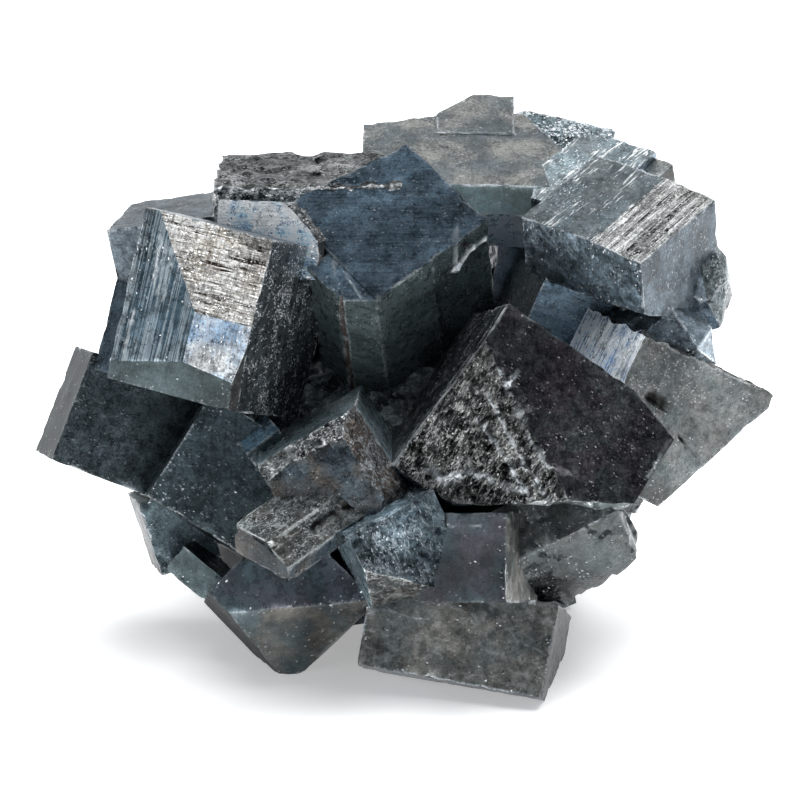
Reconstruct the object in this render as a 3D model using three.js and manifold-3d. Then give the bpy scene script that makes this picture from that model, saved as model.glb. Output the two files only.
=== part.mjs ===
// A cluster of grown-together magnetite cubes, about 60 mm wide, on a broken root.
// Units are millimetres, +Z is up, +Y is away from the front, and the origin is the
// middle of the base on the table.
import * as THREE from "three";
import { ConvexGeometry } from "three/addons/geometries/ConvexGeometry.js";
import { mergeVertices, toCreasedNormals } from "three/addons/utils/BufferGeometryUtils.js";
import Module from "manifold-3d";

const wasm = await Module();
wasm.setup();

// ---- Driving dimensions ------------------------------------------------------------
// The crystals are laid out in the cluster's own frame, across, away and up, with its
// show side square to the front. The whole cluster then leans back onto its feet.
const LEAN_DEGREES = 22;
const FOOT_LEVEL = -20.2; // height, once leaning, at which the feet are worn flat
const FAR = 200; // longer than anything in the cluster
const SHARP_DEGREES = 1; // least angle between two faces that shows as an edge
const GOLDEN_ANGLE = Math.PI * (3 - Math.sqrt(5)); // spreads corners evenly round a block
const UNEVENNESS = 0.1; // share of its radius by which a broken block's corners vary

// Each crystal is a block with its middle at `at`, its edge lengths in `size` and its
// XYZ turn in degrees. A cut [x, y, z, depth] slices `depth` off whatever reaches
// furthest in the block's own direction (x, y, z): worn edges and corners, and the
// nearly flat growth faces that split a cube face in two.
const SHOW_CRYSTALS = [
  // The big cube on the left: four growth faces share its front.
  { at: [-14.0, -3.8, 6.8], size: [11, 15, 13.7], turn: [3, 14, -20],
    cuts: [[-0.05, -1, -0.035, 0.54], [0.03, -1, -0.035, 0.38], [0.03, -1, 0.021, 0.29],
      [0, -1, -0.25, 0.81], [1, -0.8, -0.2, 0.9]] },
  // The large middle cube, the lower flank on its left, its step, the rough ridge that
  // crowns it and a bright tip.
  { at: [-0.8, 3.8, 10.1], size: [11.3, 18, 12.5], turn: [-36, -39, -5],
    cuts: [[0.174, 0, 0.985, 2.46]] },
  { at: [-3.5, 1.9, 6.7], size: [9.2, 17.9, 10], turn: [-36, -39, -5],
    cuts: [[-0.66, 0, -0.75, 2.31], [-0.893, 0, 0.45, 5.0]] },
  { at: [0.4, 2.0, 7.5], size: [13.5, 17.7, 6], turn: [-36, -39, -5], cuts: [[-1, 0, -1, 1.63]] },
  { at: [-7.0, 3.3, 14.8], size: [15, 9, 8], turn: [20, -2, -3], cuts: [] },
  { at: [-9.2, -1.5, 12.8], size: [9, 6, 6], turn: [3, 2, -26], cuts: [[0.66, 0, 0.75, 2.12]] },
  // The pale slab at the top, the slab below it and the cube behind its right end.
  { at: [5.1, 8.3, 19.4], size: [16.4, 11.2, 2.9], turn: [35, 1, -1],
    cuts: [[-0.27, 0.963, 0, 2.13], [0.866, 0.5, 0, 2.73]] },
  { at: [4.9, 9.3, 17.7], size: [13, 9, 6], turn: [35, 1, -2], cuts: [] },
  { at: [12.8, 15.8, 18.8], size: [8, 5, 9], turn: [-5, 11, 11], cuts: [] },
  // The cube at the upper right, with a bright growth face along one edge, and the
  // shoulder that carries its top on to the left.
  { at: [18.0, 3.1, 10.3], size: [10.5, 11.5, 13], turn: [36, -5, 53],
    cuts: [[0, -0.122, 0.993, 0.57], [-0.58, 0, -0.81, 6.1]] },
  { at: [15.1, 5.7, 16.5], size: [10.6, 7, 5], turn: [36, -5, 53],
    cuts: [[-0.454, 0.891, 0, 1.78], [0.8, 0.6, 0, 1.2]] },
  // The dark front cube, broken away below.
  { at: [9.9, -4.3, -3.8], size: [16.9, 12, 15], turn: [-13, 32, 17],
    cuts: [[0.545, 0, -0.838, 6.25], [-0.194, -0.906, -0.376, 4.2], [0.287, 0, 0.958, 1.34]] },
  // The grey cube beside it.
  { at: [19.9, 3.3, -1.4], size: [14, 10, 12], turn: [3, 25, 31], cuts: [[0.88, 0, -0.47, 5.1]] },
  // The small cubes at the far left, one of them just behind the big cube.
  { at: [-20.2, 1.0, 5.4], size: [5, 6, 7.6], turn: [3, 14, -20], cuts: [] },
  { at: [-22.2, 5.2, -2.1], size: [11, 10, 9.2], turn: [-1, 21, 13], cuts: [] },
  { at: [-13.0, 1.9, -6.8], size: [12, 10, 9.5], turn: [-5, 32, 8], cuts: [] },
  // The stepped crystals in the middle of the front: the worn cube, the plate across its
  // foot, the block beside it and a small tip on its left.
  { at: [-5.1, -4.5, -5.4], size: [9, 10, 8], turn: [10, -31, -3],
    cuts: [[0, -0.75, 0.66, 0.8], [0.75, -0.66, 0, 1.3]] },
  { at: [-6.9, -9.1, -9.2], size: [5.8, 11.2, 2.8], turn: [37, -3, -43],
    cuts: [[0.6, 0, 0.8, 1.2]] },
  { at: [-0.2, -6.1, -11.6], size: [7.6, 8, 7.4], turn: [14, -24, 16],
    cuts: [[-0.5, -0.6, -0.6, 2.6]] },
  { at: [-10.9, -2.6, -3.4], size: [3.2, 3.2, 2.2], turn: [38, -28, 24], cuts: [] },
  // The crystals along the bottom.
  { at: [-8.9, -0.7, -16.1], size: [9, 9, 9.7], turn: [-4, -44, 6],
    cuts: [[-0.47, -0.64, -0.6, 4.35]] },
  { at: [-18.4, 6.2, -10.1], size: [5, 8, 6.2], turn: [8, -18, 10], cuts: [] },
  { at: [-16.0, 1.1, -13.6], size: [4, 5, 2.4], turn: [12, 37, -12], cuts: [] },
  { at: [5.2, -0.5, -19.2], size: [15, 10, 7.5], turn: [-7, 11, -8], cuts: [] },
  { at: [6.3, -6.2, -12.4], size: [7, 8, 7], turn: [-2, 0, -20], cuts: [] },
  // Small ones in the gaps and along the top.
  { at: [-17.7, 5.7, 11.7], size: [9, 8, 8], turn: [17, -11, -12], cuts: [] },
  { at: [12.2, 6.4, 6.0], size: [7, 8, 8], turn: [7, 24, 16], cuts: [] },
  { at: [6.2, 12.5, 22.5], size: [6.4, 6, 2.9], turn: [35, 1, -1], cuts: [[-0.72, 0.69, 0, 2.15]] },
  { at: [18.5, 6.0, 16.2], size: [6.5, 5, 5], turn: [36, -5, 53], cuts: [] },
  { at: [11.5, 14.3, 8.9], size: [9, 8, 9], turn: [9, 7, 8], cuts: [] },
];

const BACK_CRYSTALS = [
  { at: [-9, 11, -12], size: [11, 11, 11], turn: [10, 5, 20], cuts: [] },
  { at: [6.0, 11, -12], size: [11, 11, 12], turn: [20, -10, 35], cuts: [] },
  { at: [-11, 15, 3], size: [11, 12, 11], turn: [25, 15, 30], cuts: [] },
  { at: [13, 14, 1], size: [11, 11, 12], turn: [-20, 25, 20], cuts: [] },
  { at: [1, 18, -4], size: [13, 11, 12], turn: [15, 30, 40], cuts: [] },
  { at: [0, 16, 10], size: [10, 10, 10], turn: [40, 10, 10], cuts: [] },
];

// Broken masses with no crystal faces of their own, as uneven many-cornered blocks.
const BROKEN = [
  { at: [1, 10, -6], radii: [19, 10, 12], corners: 40, seed: 1 },
  { at: [10.9, -2, -10.3], radii: [8.6, 7, 5.8], corners: 26, seed: 9 },
  { at: [20.9, 2.9, 4.6], radii: [5.2, 4, 3.8], corners: 20, seed: 4 },
  { at: [24.6, 4, 9.5], radii: [2.6, 3, 4], corners: 18, seed: 5 },
];

const radians = (degrees) => THREE.MathUtils.degToRad(degrees);

// A closed geometry as a solid. Only positions are kept, so shared corners merge.
function solidOf(geometry) {
  const bare = new THREE.BufferGeometry()
    .setAttribute("position", geometry.getAttribute("position"))
    .setIndex(geometry.index);
  const merged = mergeVertices(bare, 1e-4);
  return new wasm.Manifold(
    new wasm.Mesh({
      numProp: 3,
      vertProperties: merged.attributes.position.array,
      triVerts: new Uint32Array(merged.index.array),
    }),
  );
}

function geometryOf(solid) {
  const mesh = solid.getMesh();
  const stride = mesh.numProp;
  const positions = new Float32Array(mesh.numVert * 3);
  for (let i = 0; i < mesh.numVert; i++)
    positions.set(mesh.vertProperties.subarray(i * stride, i * stride + 3), i * 3);
  return new THREE.BufferGeometry()
    .setAttribute("position", new THREE.BufferAttribute(positions, 3))
    .setIndex(new THREE.BufferAttribute(mesh.triVerts, 1));
}

// A big block whose one face passes through `point` and looks back along -normal.
function beyond(normal, point) {
  const turn = new THREE.Quaternion().setFromUnitVectors(
    new THREE.Vector3(0, 0, 1),
    normal,
  );
  const block = new THREE.BoxGeometry(FAR, FAR, FAR).translate(0, 0, FAR / 2);
  return solidOf(block.applyQuaternion(turn).translate(point.x, point.y, point.z));
}

function crystal({ at, size, turn, cuts }) {
  const half = new THREE.Vector3(...size).multiplyScalar(0.5);
  let solid = solidOf(new THREE.BoxGeometry(...size));
  for (const [x, y, z, depth] of cuts) {
    const normal = new THREE.Vector3(x, y, z).normalize();
    const reach = Math.abs(normal.x) * half.x + Math.abs(normal.y) * half.y
      + Math.abs(normal.z) * half.z - depth;
    solid = solid.subtract(beyond(normal, normal.clone().multiplyScalar(reach)));
  }
  const pose = new THREE.Matrix4().compose(
    new THREE.Vector3(...at),
    new THREE.Quaternion().setFromEuler(new THREE.Euler(...turn.map(radians))),
    new THREE.Vector3(1, 1, 1),
  );
  return solidOf(geometryOf(solid).applyMatrix4(pose));
}

// An uneven block: corners spread evenly over an egg, pushed in and out by turns.
function brokenBlock({ at, radii, corners, seed }) {
  const points = [];
  for (let i = 0; i < corners; i++) {
    const height = 1 - (2 * i + 1) / corners;
    const width = Math.sqrt(1 - height * height);
    const around = i * GOLDEN_ANGLE + seed;
    const reach = 1 + UNEVENNESS * Math.sin(7 * i + 3 * seed);
    const point = new THREE.Vector3(width * Math.cos(around), width * Math.sin(around), height);
    points.push(point.multiplyScalar(reach).multiply(new THREE.Vector3(...radii)));
  }
  return solidOf(new ConvexGeometry(points).translate(...at));
}

function wholeCluster() {
  const pieces = [...SHOW_CRYSTALS, ...BACK_CRYSTALS].map(crystal).concat(BROKEN.map(brokenBlock));
  const grown = wasm.Manifold.union(pieces);
  const leaning = geometryOf(grown).rotateX(-radians(LEAN_DEGREES));
  const down = new THREE.Vector3(0, 0, -1);
  return solidOf(leaning).subtract(beyond(down, new THREE.Vector3(0, 0, FOOT_LEVEL)));
}

// Faces meeting at more than a slight angle keep a sharp edge between them.
const geometry = toCreasedNormals(geometryOf(wholeCluster()), radians(SHARP_DEGREES));
geometry.computeBoundingBox();
const middle = geometry.boundingBox.getCenter(new THREE.Vector3());

const cluster = new THREE.Mesh(
  geometry,
  new THREE.MeshStandardMaterial({ color: 0x3a3f45, roughness: 0.35, metalness: 0.9 }),
);
cluster.name = "magnetite_cluster";
cluster.position.set(-middle.x, -middle.y, -geometry.boundingBox.min.z);

const root = new THREE.Group();
root.add(cluster);
export default root;
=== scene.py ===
import math
from dataclasses import dataclass, replace

import bpy
import numpy as np
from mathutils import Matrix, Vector, kdtree
from mathutils.geometry import delaunay_2d_cdt


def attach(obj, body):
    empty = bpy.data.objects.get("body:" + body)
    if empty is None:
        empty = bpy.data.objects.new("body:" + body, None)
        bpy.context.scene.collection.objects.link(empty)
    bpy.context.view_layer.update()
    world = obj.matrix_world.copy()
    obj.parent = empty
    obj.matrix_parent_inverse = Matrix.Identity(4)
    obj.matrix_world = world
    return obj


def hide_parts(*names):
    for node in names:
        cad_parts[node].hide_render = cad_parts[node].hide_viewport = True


# The looks of a cluster of grown-together magnetite cubes. The CAD solid gives every face
# its place. Here each face is cut into fine triangles, gets its relief (growth lines,
# broken grain, chipped edges), and is given its finish. Lengths are millimetres and turn
# to metres when the mesh, the lights and the camera are made.

MM = 0.001
NODE = "magnetite_cluster"

# ---- The cluster's own frame, as in the CAD source ----
LEAN_DEGREES = 22
LAYOUT_ORIGIN = np.array([-0.15, -4.28, 20.20])

# ---- Meshing ----
STEP = 0.395  # spacing of the fine mesh
FLATNESS = 0.01  # how far from a face's plane its triangles may reach
FACING_DOWN = -0.999  # greatest Z of the normal of a flat that the cluster rests on
SIDE_GAP = 0.05  # how far a face may be from the crystal's side that it is part of
SAME_WAY = 0.99995  # cosine of the most that it may be turned from it
JITTER = 0.18  # share of a step by which inner points are scattered
SCAR_STEP = 0.14  # spacing of the mesh along a scar
RAGGEDNESS = 0.15  # how far a scar strays from its path
TINY = 1e-12  # keeps a division from failing at a length of 0

# ---- Relief and edges ----
WAVE_SIZE = 4.0  # width of the slow waviness of a face
RIPPLE_SIZE, RIPPLES = 1.2, 0.3  # width of the ripples on it, and their share of its height
RIDGE_LENGTH = 9  # how long the growth steps run
GRAIN_SIZE = 0.8
CHUNK_LIFT = 0.35  # how far broken facets step up and down, as a share of their slope
RELIEF_MARGIN = 1.2  # how far from a standing edge the relief of a smooth face is whole
EDGE_RELIEF = 0.3  # share of the relief that is left at the edge
SLACK = 0.05  # how freely a point that is on several faces settles between them
EDGE_DEGREES = 25  # least fold between two faces that counts as a standing edge
LEAST_SPREAD = 0.1  # least sum of their normals, which is 0 where they lie back to back
SHARP_DEGREES = 24  # least fold that shows as an edge
RIM_WIDTH = 0.9  # how far from an edge its rubbing and painted edge highlight show
CHIP_SHARE = 0.3  # chips for each point on the standing edges
CHIP_REACH = 0.84  # how far a chip runs along its edge
CHIP_DEPTH = 2.2  # depth of the deepest chips, times what the look says
CHIP_LEAN = 0.35  # how far a chip's direction strays

# ---- Finish ----
# How many features of each pattern there are in a millimetre.
CLOUDS, WEAR_AND_HIGHLIGHT, PATCHES, SWARMS, MOTTLE, HOLLOWS, GRAIN = 0.22, 0.3, 0.35, 0.7, 1.3, 2.5, 5.0
GLINT_SIZE = 0.085  # size of the micro facets
GLINT_SHAPE = 0.6  # their width divided by their length
EDGE_PAINTED_GLINTS = 0.12  # how many more of them are painted as glints along a rubbed edge
LINE_DEPTH = 0.2  # depth of a growth line divided by its width
STRAND_SHAPE = 0.35  # width of a strand divided by its length
STRAND_HEIGHT = 0.06
DUST = (0.32, 0.33, 0.32)
SCAR_HIGHLIGHT = (0.75, 0.8, 0.84)  # painted highlight on a scar that stands out
SCAR_SHADE = (0.012, 0.011, 0.01)  # painted shade in a scar that is cut in
HOLLOW_SHADE = 0.15  # how light the painted shade of the small hollows is beside the face

# ---- Stage ----
FLOOR_GLOW = 0.36  # light that comes through the white floor, which softens the shadow
CAMERA_DISTANCE, VIEW_WIDTH = 0.35, 0.064  # in metres
SENSOR_WIDTH = 36  # in millimetres

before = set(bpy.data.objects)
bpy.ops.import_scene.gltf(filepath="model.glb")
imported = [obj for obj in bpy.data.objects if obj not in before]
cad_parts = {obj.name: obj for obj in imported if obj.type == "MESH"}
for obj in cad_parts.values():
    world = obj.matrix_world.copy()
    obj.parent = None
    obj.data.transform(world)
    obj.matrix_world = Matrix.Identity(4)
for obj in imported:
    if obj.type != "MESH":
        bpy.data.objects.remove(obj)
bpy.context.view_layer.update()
rng = np.random.default_rng(7)


# ---- Looks ----
@dataclass
class Look:
    """The relief of a face in millimetres, and its finish. Shares run from 0 to 1."""

    swell: float = 0.04  # height of its slow waviness
    ridge: float = 0.0  # height of its growth steps
    ridge_width: float = 0.5
    chunk: float = 0.0  # size of the flat facets of a broken face, 0 for none
    tilt: float = 0.0  # their slope
    grain: float = 0.0  # height of its roughness
    chip: float = 0.07  # depth of the chips along its edges
    colour: tuple = (0.12, 0.16, 0.18)
    tint: tuple = (0.09, 0.12, 0.135)  # colour of its patches
    bright: tuple = (0.75, 0.8, 0.84)  # colour of its painted glints and of its rubbed edges, which are partly a painted edge highlight
    line: tuple = (0.75, 0.8, 0.84)  # colour of its growth lines
    rough: tuple = (0.22, 0.38)  # least and greatest roughness
    metal: float = 0.88
    lines: float = 0.0  # strength of the lines along the growth direction
    cross: float = 0.0  # strength of the lines across it
    cover: float = 0.0  # how much of the face the lines cover: more above 0, less below
    line_width: float = 0.12
    stretch: float = 0.06  # width of a line divided by its length
    mottle: float = 0.35  # unevenness in patches,
    grainy: float = 0.4  # in grains
    banded: float = 0.05  # and in bands along the growth direction
    cloud: float = 0.4  # and in broad clouds
    facet: float = 0.07  # slope of the micro facets
    shard: float = 0.0  # size of the larger facets that break up a rough face, 0 for none
    shard_slope: float = 0.6
    splinter: float = 1.0  # width of a shard divided by its length
    strands: float = 0.0  # strength of the bright strands that net a broken face
    strand_size: float = 0.8
    scratch: float = 0.8  # strength of the thin scratches among the lines
    edge_wear_and_highlight: float = 1.0  # strength of the bright rubbing along its edges, which is partly a painted edge highlight
    glint: float = 0.02  # share of the micro facets that are painted as bright glints
    pits: float = 0.08  # share of small black pits, painted as shade
    dust: float = 0.0  # share of pale dull film


SMOOTH = Look()
HACKLY = Look(
    swell=0.1, chunk=1.9, tilt=0.3, grain=0.03, chip=0.16, grainy=0.31, facet=0.2, shard=0.5,
    strands=0.5, glint=0.04, rough=(0.25, 0.45), edge_wear_and_highlight=0.3, metal=0.75, pits=0.0,
)
LOOKS = {
    "striated": replace(
        SMOOTH, ridge=0.03, colour=(0.075, 0.13, 0.17), tint=(0.05, 0.09, 0.12),
        line=(0.75, 0.84, 0.9), lines=0.8, cover=-0.5, line_width=0.08, stretch=0.02, banded=0.3,
        grainy=0.43, mottle=0.5,
    ),
    "faint_lines": replace(
        SMOOTH, ridge=0.02, colour=(0.085, 0.12, 0.145), tint=(0.065, 0.09, 0.11),
        line=(0.4, 0.5, 0.58), lines=0.4, cover=-0.2, line_width=0.09, stretch=0.025, banded=0.3,
        grainy=0.43,
    ),
    # The pale colours of this look and the next two partly paint in the bright reflections that
    # their faces show.
    "hatched": replace(
        SMOOTH, ridge=0.02, colour=(0.97, 0.95, 0.92), tint=(0.66, 0.61, 0.54), pits=0.1,
        bright=(1.0, 0.99, 0.97), line=(0.025, 0.018, 0.012), lines=1.0, cross=0.7, cover=0.2,
        line_width=0.15, stretch=0.05, facet=0.25, glint=0.25, grainy=0.62, mottle=0.6, scratch=0.6,
        banded=0.3,
    ),
    "bright_lines": replace(
        SMOOTH, ridge=0.03, colour=(0.95, 0.96, 0.95), tint=(0.7, 0.7, 0.68),
        bright=(1.0, 0.99, 0.97), line=(0.015, 0.015, 0.015), lines=1.0, cross=0.3, cover=0.4,
        line_width=0.16, stretch=0.04, facet=0.25, glint=0.2, grainy=0.62, mottle=0.6, banded=0.4,
    ),
    "bright_patch": replace(
        SMOOTH, colour=(0.3, 0.47, 0.68), tint=(0.88, 0.91, 0.93), bright=(0.98, 0.99, 1.0),
        line=(0.95, 0.97, 1.0), lines=0.5, cover=0.2, glint=0.1, mottle=0.6, grainy=0.62, pits=0.25,
    ),
    "dull_grey": replace(
        SMOOTH, swell=0.06, colour=(0.13, 0.17, 0.18), tint=(0.1, 0.135, 0.145), facet=0.04,
        rough=(0.4, 0.6), metal=0.75, dust=0.15, glint=0.01, mottle=0.3, grainy=0.3, edge_wear_and_highlight=0.4,
    ),
    "slate": replace(
        SMOOTH, swell=0.1, colour=(0.1, 0.13, 0.142), tint=(0.19, 0.183, 0.165), facet=0.04,
        rough=(0.35, 0.5), metal=0.7, glint=0.01, mottle=0.25, grainy=0.25, edge_wear_and_highlight=0.3, cloud=0.5,
    ),
    "speckled_dark": replace(
        SMOOTH, colour=(0.085, 0.094, 0.1), tint=(0.088, 0.076, 0.09), glint=0.05, grainy=0.56,
        mottle=0.5, bright=(0.2, 0.21, 0.22), facet=0.2, edge_wear_and_highlight=1.6,
    ),
    "black_specks": replace(
        SMOOTH, colour=(0.035, 0.042, 0.047), tint=(0.024, 0.028, 0.03), glint=0.12, grainy=0.5,
        mottle=0.5, bright=(0.9, 0.95, 1.0), metal=0.5,
    ),
    "teal_dark": replace(
        SMOOTH, colour=(0.085, 0.11, 0.122), tint=(0.068, 0.088, 0.1), glint=0.04, grainy=0.43,
        mottle=0.4, bright=(0.4, 0.44, 0.46), facet=0.15,
    ),
    "smooth_blue": replace(
        SMOOTH, colour=(0.095, 0.145, 0.19), tint=(0.13, 0.195, 0.26), line=(0.4, 0.5, 0.58),
        lines=0.3, line_width=0.08, stretch=0.03, pits=0.14, grainy=0.56, glint=0.03,
        bright=(0.5, 0.55, 0.6), banded=0.2, cloud=0.5, mottle=0.4,
    ),
    "smooth_dark": replace(
        SMOOTH, colour=(0.09, 0.122, 0.135), tint=(0.075, 0.105, 0.118), metal=0.75, grainy=0.5,
        glint=0.03,
    ),
    "shaded_dark": replace(
        SMOOTH, colour=(0.085, 0.112, 0.117), tint=(0.07, 0.098, 0.103), metal=0.45, grainy=0.43,
        glint=0.06, bright=(0.45, 0.5, 0.5),
    ),
    # Dull and without metal, for faces whose reflections would be lighter: painted shade.
    "matt_dark": replace(
        SMOOTH, colour=(0.04, 0.046, 0.048), tint=(0.032, 0.036, 0.038), metal=0.0,
        rough=(0.7, 0.9), glint=0.005, edge_wear_and_highlight=0.3,
    ),
    "rusty": replace(
        SMOOTH, colour=(0.15, 0.1, 0.085), tint=(0.12, 0.11, 0.1), rough=(0.35, 0.5), metal=0.4,
    ),
    "glitter": replace(
        HACKLY, chunk=1.2, tilt=0.25, colour=(0.13, 0.14, 0.14), tint=(0.07, 0.077, 0.08),
        bright=(1.0, 1.0, 1.0), glint=0.25, shard=0.35, grainy=0.8, mottle=0.9, edge_wear_and_highlight=1.0, pits=0.1,
        cloud=0.5,
    ),
    "dusty": replace(
        SMOOTH, swell=0.12, grain=0.03, colour=(0.19, 0.215, 0.23), tint=(0.242, 0.243, 0.228),
        rough=(0.35, 0.55), dust=0.45, glint=0.01, grainy=0.28, shard=1.5, shard_slope=0.08,
        cloud=0.2,
    ),
    "streaked": replace(
        SMOOTH, swell=0.06, grain=0.03, ridge=0.02, colour=(0.17, 0.195, 0.205),
        line=(0.9, 0.92, 0.92), lines=1.0, cover=-0.1, line_width=0.22, stretch=0.14, scratch=0.0,
        rough=(0.3, 0.5), dust=0.25, mottle=0.5, grainy=0.37, cloud=0.35,
    ),
    "greenish": replace(
        SMOOTH, colour=(0.17, 0.22, 0.23), tint=(0.15, 0.19, 0.19), rough=(0.35, 0.5), dust=0.2,
        metal=0.4, glint=0.005, grainy=0.19, mottle=0.15,
    ),
    "violet": replace(
        SMOOTH, colour=(0.09, 0.122, 0.138), tint=(0.115, 0.118, 0.14), metal=0.7, glint=0.008,
        grainy=0.25, mottle=0.25, facet=0.04, edge_wear_and_highlight=0.4, cloud=0.5,
    ),
    "mottled": replace(
        SMOOTH, swell=0.06, grain=0.04, colour=(0.2, 0.245, 0.285), tint=(0.135, 0.165, 0.19),
        rough=(0.3, 0.5), facet=0.12, shard=0.5, shard_slope=0.15, glint=0.03, mottle=0.5,
        grainy=0.43, dust=0.15,
    ),
    "spotted": replace(
        SMOOTH, colour=(0.15, 0.18, 0.19), tint=(0.08, 0.11, 0.12), facet=0.3, glint=0.3,
        mottle=0.7, grainy=0.5, metal=0.5,
    ),
    "fibrous": replace(
        HACKLY, chunk=1.2, tilt=0.32, colour=(0.05, 0.055, 0.055), tint=(0.14, 0.145, 0.14),
        bright=(0.75, 0.77, 0.75), shard=0.25, splinter=0.3, shard_slope=1.2, strands=0.9,
        strand_size=0.5, glint=0.25, mottle=0.9, grainy=0.62, metal=0.88, cloud=0.8,
    ),
    "fine_grey": replace(
        SMOOTH, swell=0.12, grain=0.04, colour=(0.18, 0.205, 0.21), tint=(0.25, 0.26, 0.255),
        facet=0.1, shard=0.5, shard_slope=0.15, glint=0.03, rough=(0.3, 0.45), grainy=0.31,
        dust=0.15, cloud=0.35,
    ),
    "soft_grey": replace(
        SMOOTH, swell=0.2, grain=0.04, chip=0.15, colour=(0.145, 0.16, 0.158), grainy=0.3,
        tint=(0.205, 0.2, 0.185), facet=0.06, rough=(0.35, 0.55), dust=0.2, glint=0.01, shard=0.9,
        shard_slope=0.15, strands=0.15, strand_size=2.5,
    ),
    "stained": replace(
        SMOOTH, swell=0.12, grain=0.04, chip=0.25, colour=(0.1, 0.13, 0.155),
        tint=(0.16, 0.145, 0.13), facet=0.15, shard=0.8, shard_slope=0.15, mottle=0.4,
    ),
    # A pale, half-dull finish that paints the bright reflection of this face into its colour.
    "pale_bands": replace(
        SMOOTH, colour=(0.1, 0.17, 0.3), tint=(0.3, 0.32, 0.33), line=(0.95, 0.97, 1.0), lines=0.9,
        line_width=0.14, stretch=0.04, banded=0.4, metal=0.3, glint=0.15, grainy=0.5,
    ),
    "tan_stone": replace(
        SMOOTH, swell=0.15, grain=0.06, chip=0.28, colour=(0.18, 0.18, 0.167),
        tint=(0.13, 0.145, 0.15), facet=0.3, shard=0.3, shard_slope=0.5, rough=(0.35, 0.5),
        bright=(0.9, 0.93, 0.92), glint=0.12, mottle=0.5, grainy=0.55, strands=0.5, strand_size=0.7,
        dust=0.15, edge_wear_and_highlight=1.8,
    ),
    "brown_glitter": replace(
        HACKLY, chunk=1.2, tilt=0.2, colour=(0.14, 0.115, 0.1), tint=(0.1, 0.1, 0.1), glint=0.2,
        shard=0.3, grainy=0.5,
    ),
    "blue_glitter": replace(
        HACKLY, chunk=1.5, tilt=0.12, colour=(0.13, 0.19, 0.23), tint=(0.1, 0.14, 0.16),
        bright=(0.8, 0.9, 1.0), glint=0.15, shard=0.3, shard_slope=0.4, mottle=0.5,
    ),
    "rough_grey": replace(
        HACKLY, tilt=0.12, chunk=2.2, colour=(0.12, 0.14, 0.143), tint=(0.15, 0.16, 0.16),
        dust=0.15, shard=0.35, shard_slope=0.25, strands=0.06, strand_size=1.5, glint=0.02,
        mottle=0.2,
    ),
    "broken": replace(
        HACKLY, tilt=0.2, chunk=2.4, colour=(0.1, 0.115, 0.12), tint=(0.13, 0.14, 0.14), dust=0.1,
        shard=0.4, shard_slope=0.5, strands=0.2, strand_size=1.2,
    ),
}


# ---- Frames ----
def turn_matrix(degrees):
    """The turn about X, then about the turned Y, then about the turned Z."""
    x, y, z = np.radians(degrees)
    about_x = np.array([[1, 0, 0], [0, math.cos(x), -math.sin(x)], [0, math.sin(x), math.cos(x)]])
    about_y = np.array([[math.cos(y), 0, math.sin(y)], [0, 1, 0], [-math.sin(y), 0, math.cos(y)]])
    about_z = np.array([[math.cos(z), -math.sin(z), 0], [math.sin(z), math.cos(z), 0], [0, 0, 1]])
    return about_x @ about_y @ about_z


def unit(vector):
    return np.asarray(vector, float) / np.linalg.norm(vector)


LEAN = turn_matrix((-LEAN_DEGREES, 0, 0))

# ---- Crystals ----
RIGHT, BACK, TOP = X, Y, Z = (1, 0, 0), (0, 1, 0), (0, 0, 1)
LEFT, FRONT, UNDER = (-1, 0, 0), (0, -1, 0), (0, 0, -1)
STRIPED = (-0.05, -1, -0.035)  # the lined growth face of the left cube
FRACTURE = (-0.194, -0.906, -0.376)  # the broken side of the front cube
LEVEL = (1, 0, -0.9)  # level lines on the middle cube, which stands on its corner


@dataclass
class Crystal:
    """A crystal's box in the cluster's own frame, as in the CAD source. What follows it is in
    the crystal's own frame, from its middle."""

    middle: tuple
    size: tuple
    turn: tuple
    sides: tuple = ()  # way out, look, way of the growth lines, how much lighter, partly painted light and shade
    painted_light_spots: tuple = ()  # soft patches of painted light and shade: place, reach, how much lighter, how many more painted glints
    scars: tuple = ()  # side, path, half width, how far it stands out, its painted light: a highlight above 0, shade below 0

    def __post_init__(self):
        self.axes = LEAN @ turn_matrix(self.turn)
        self.centre = LEAN @ np.array(self.middle) + LAYOUT_ORIGIN
        self.half = np.array(self.size) / 2

    def place(self, points):
        """Where points given in the crystal's own frame are."""
        return self.centre + np.array(points, float) @ self.axes.T

    def holds(self, face):
        """Whether the middle of the face is in the crystal or on it."""
        return (np.abs((face.middle - self.centre) @ self.axes) < self.half + SIDE_GAP).all()

    def has(self, face, side):
        """Whether a face that it holds is on this side of it, or is a slanting cut of it."""
        way = unit(side)
        level = (face.middle - self.centre) @ self.axes @ way
        on_side = abs(level - self.half @ np.abs(way)) < SIDE_GAP
        slanting = np.count_nonzero(side) > 1
        return face.normal @ self.axes @ way > SAME_WAY and (on_side or slanting)

    def dress(self, face, look, lines, tone):
        face.look, face.tone = look, tone
        face.lay_lines(self.axes @ np.array(lines, float))

    def mark(self, face, side):
        """Gives a face its crystal's soft patches of painted light and shade, and its own scars."""
        face.painted_light_spots = [(self.place(spot), *rest) for spot, *rest in self.painted_light_spots]
        face.scars = [
            (face.flatten(self.place(path)), *rest)
            for on, path, *rest in self.scars
            if on == side
        ]


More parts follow.
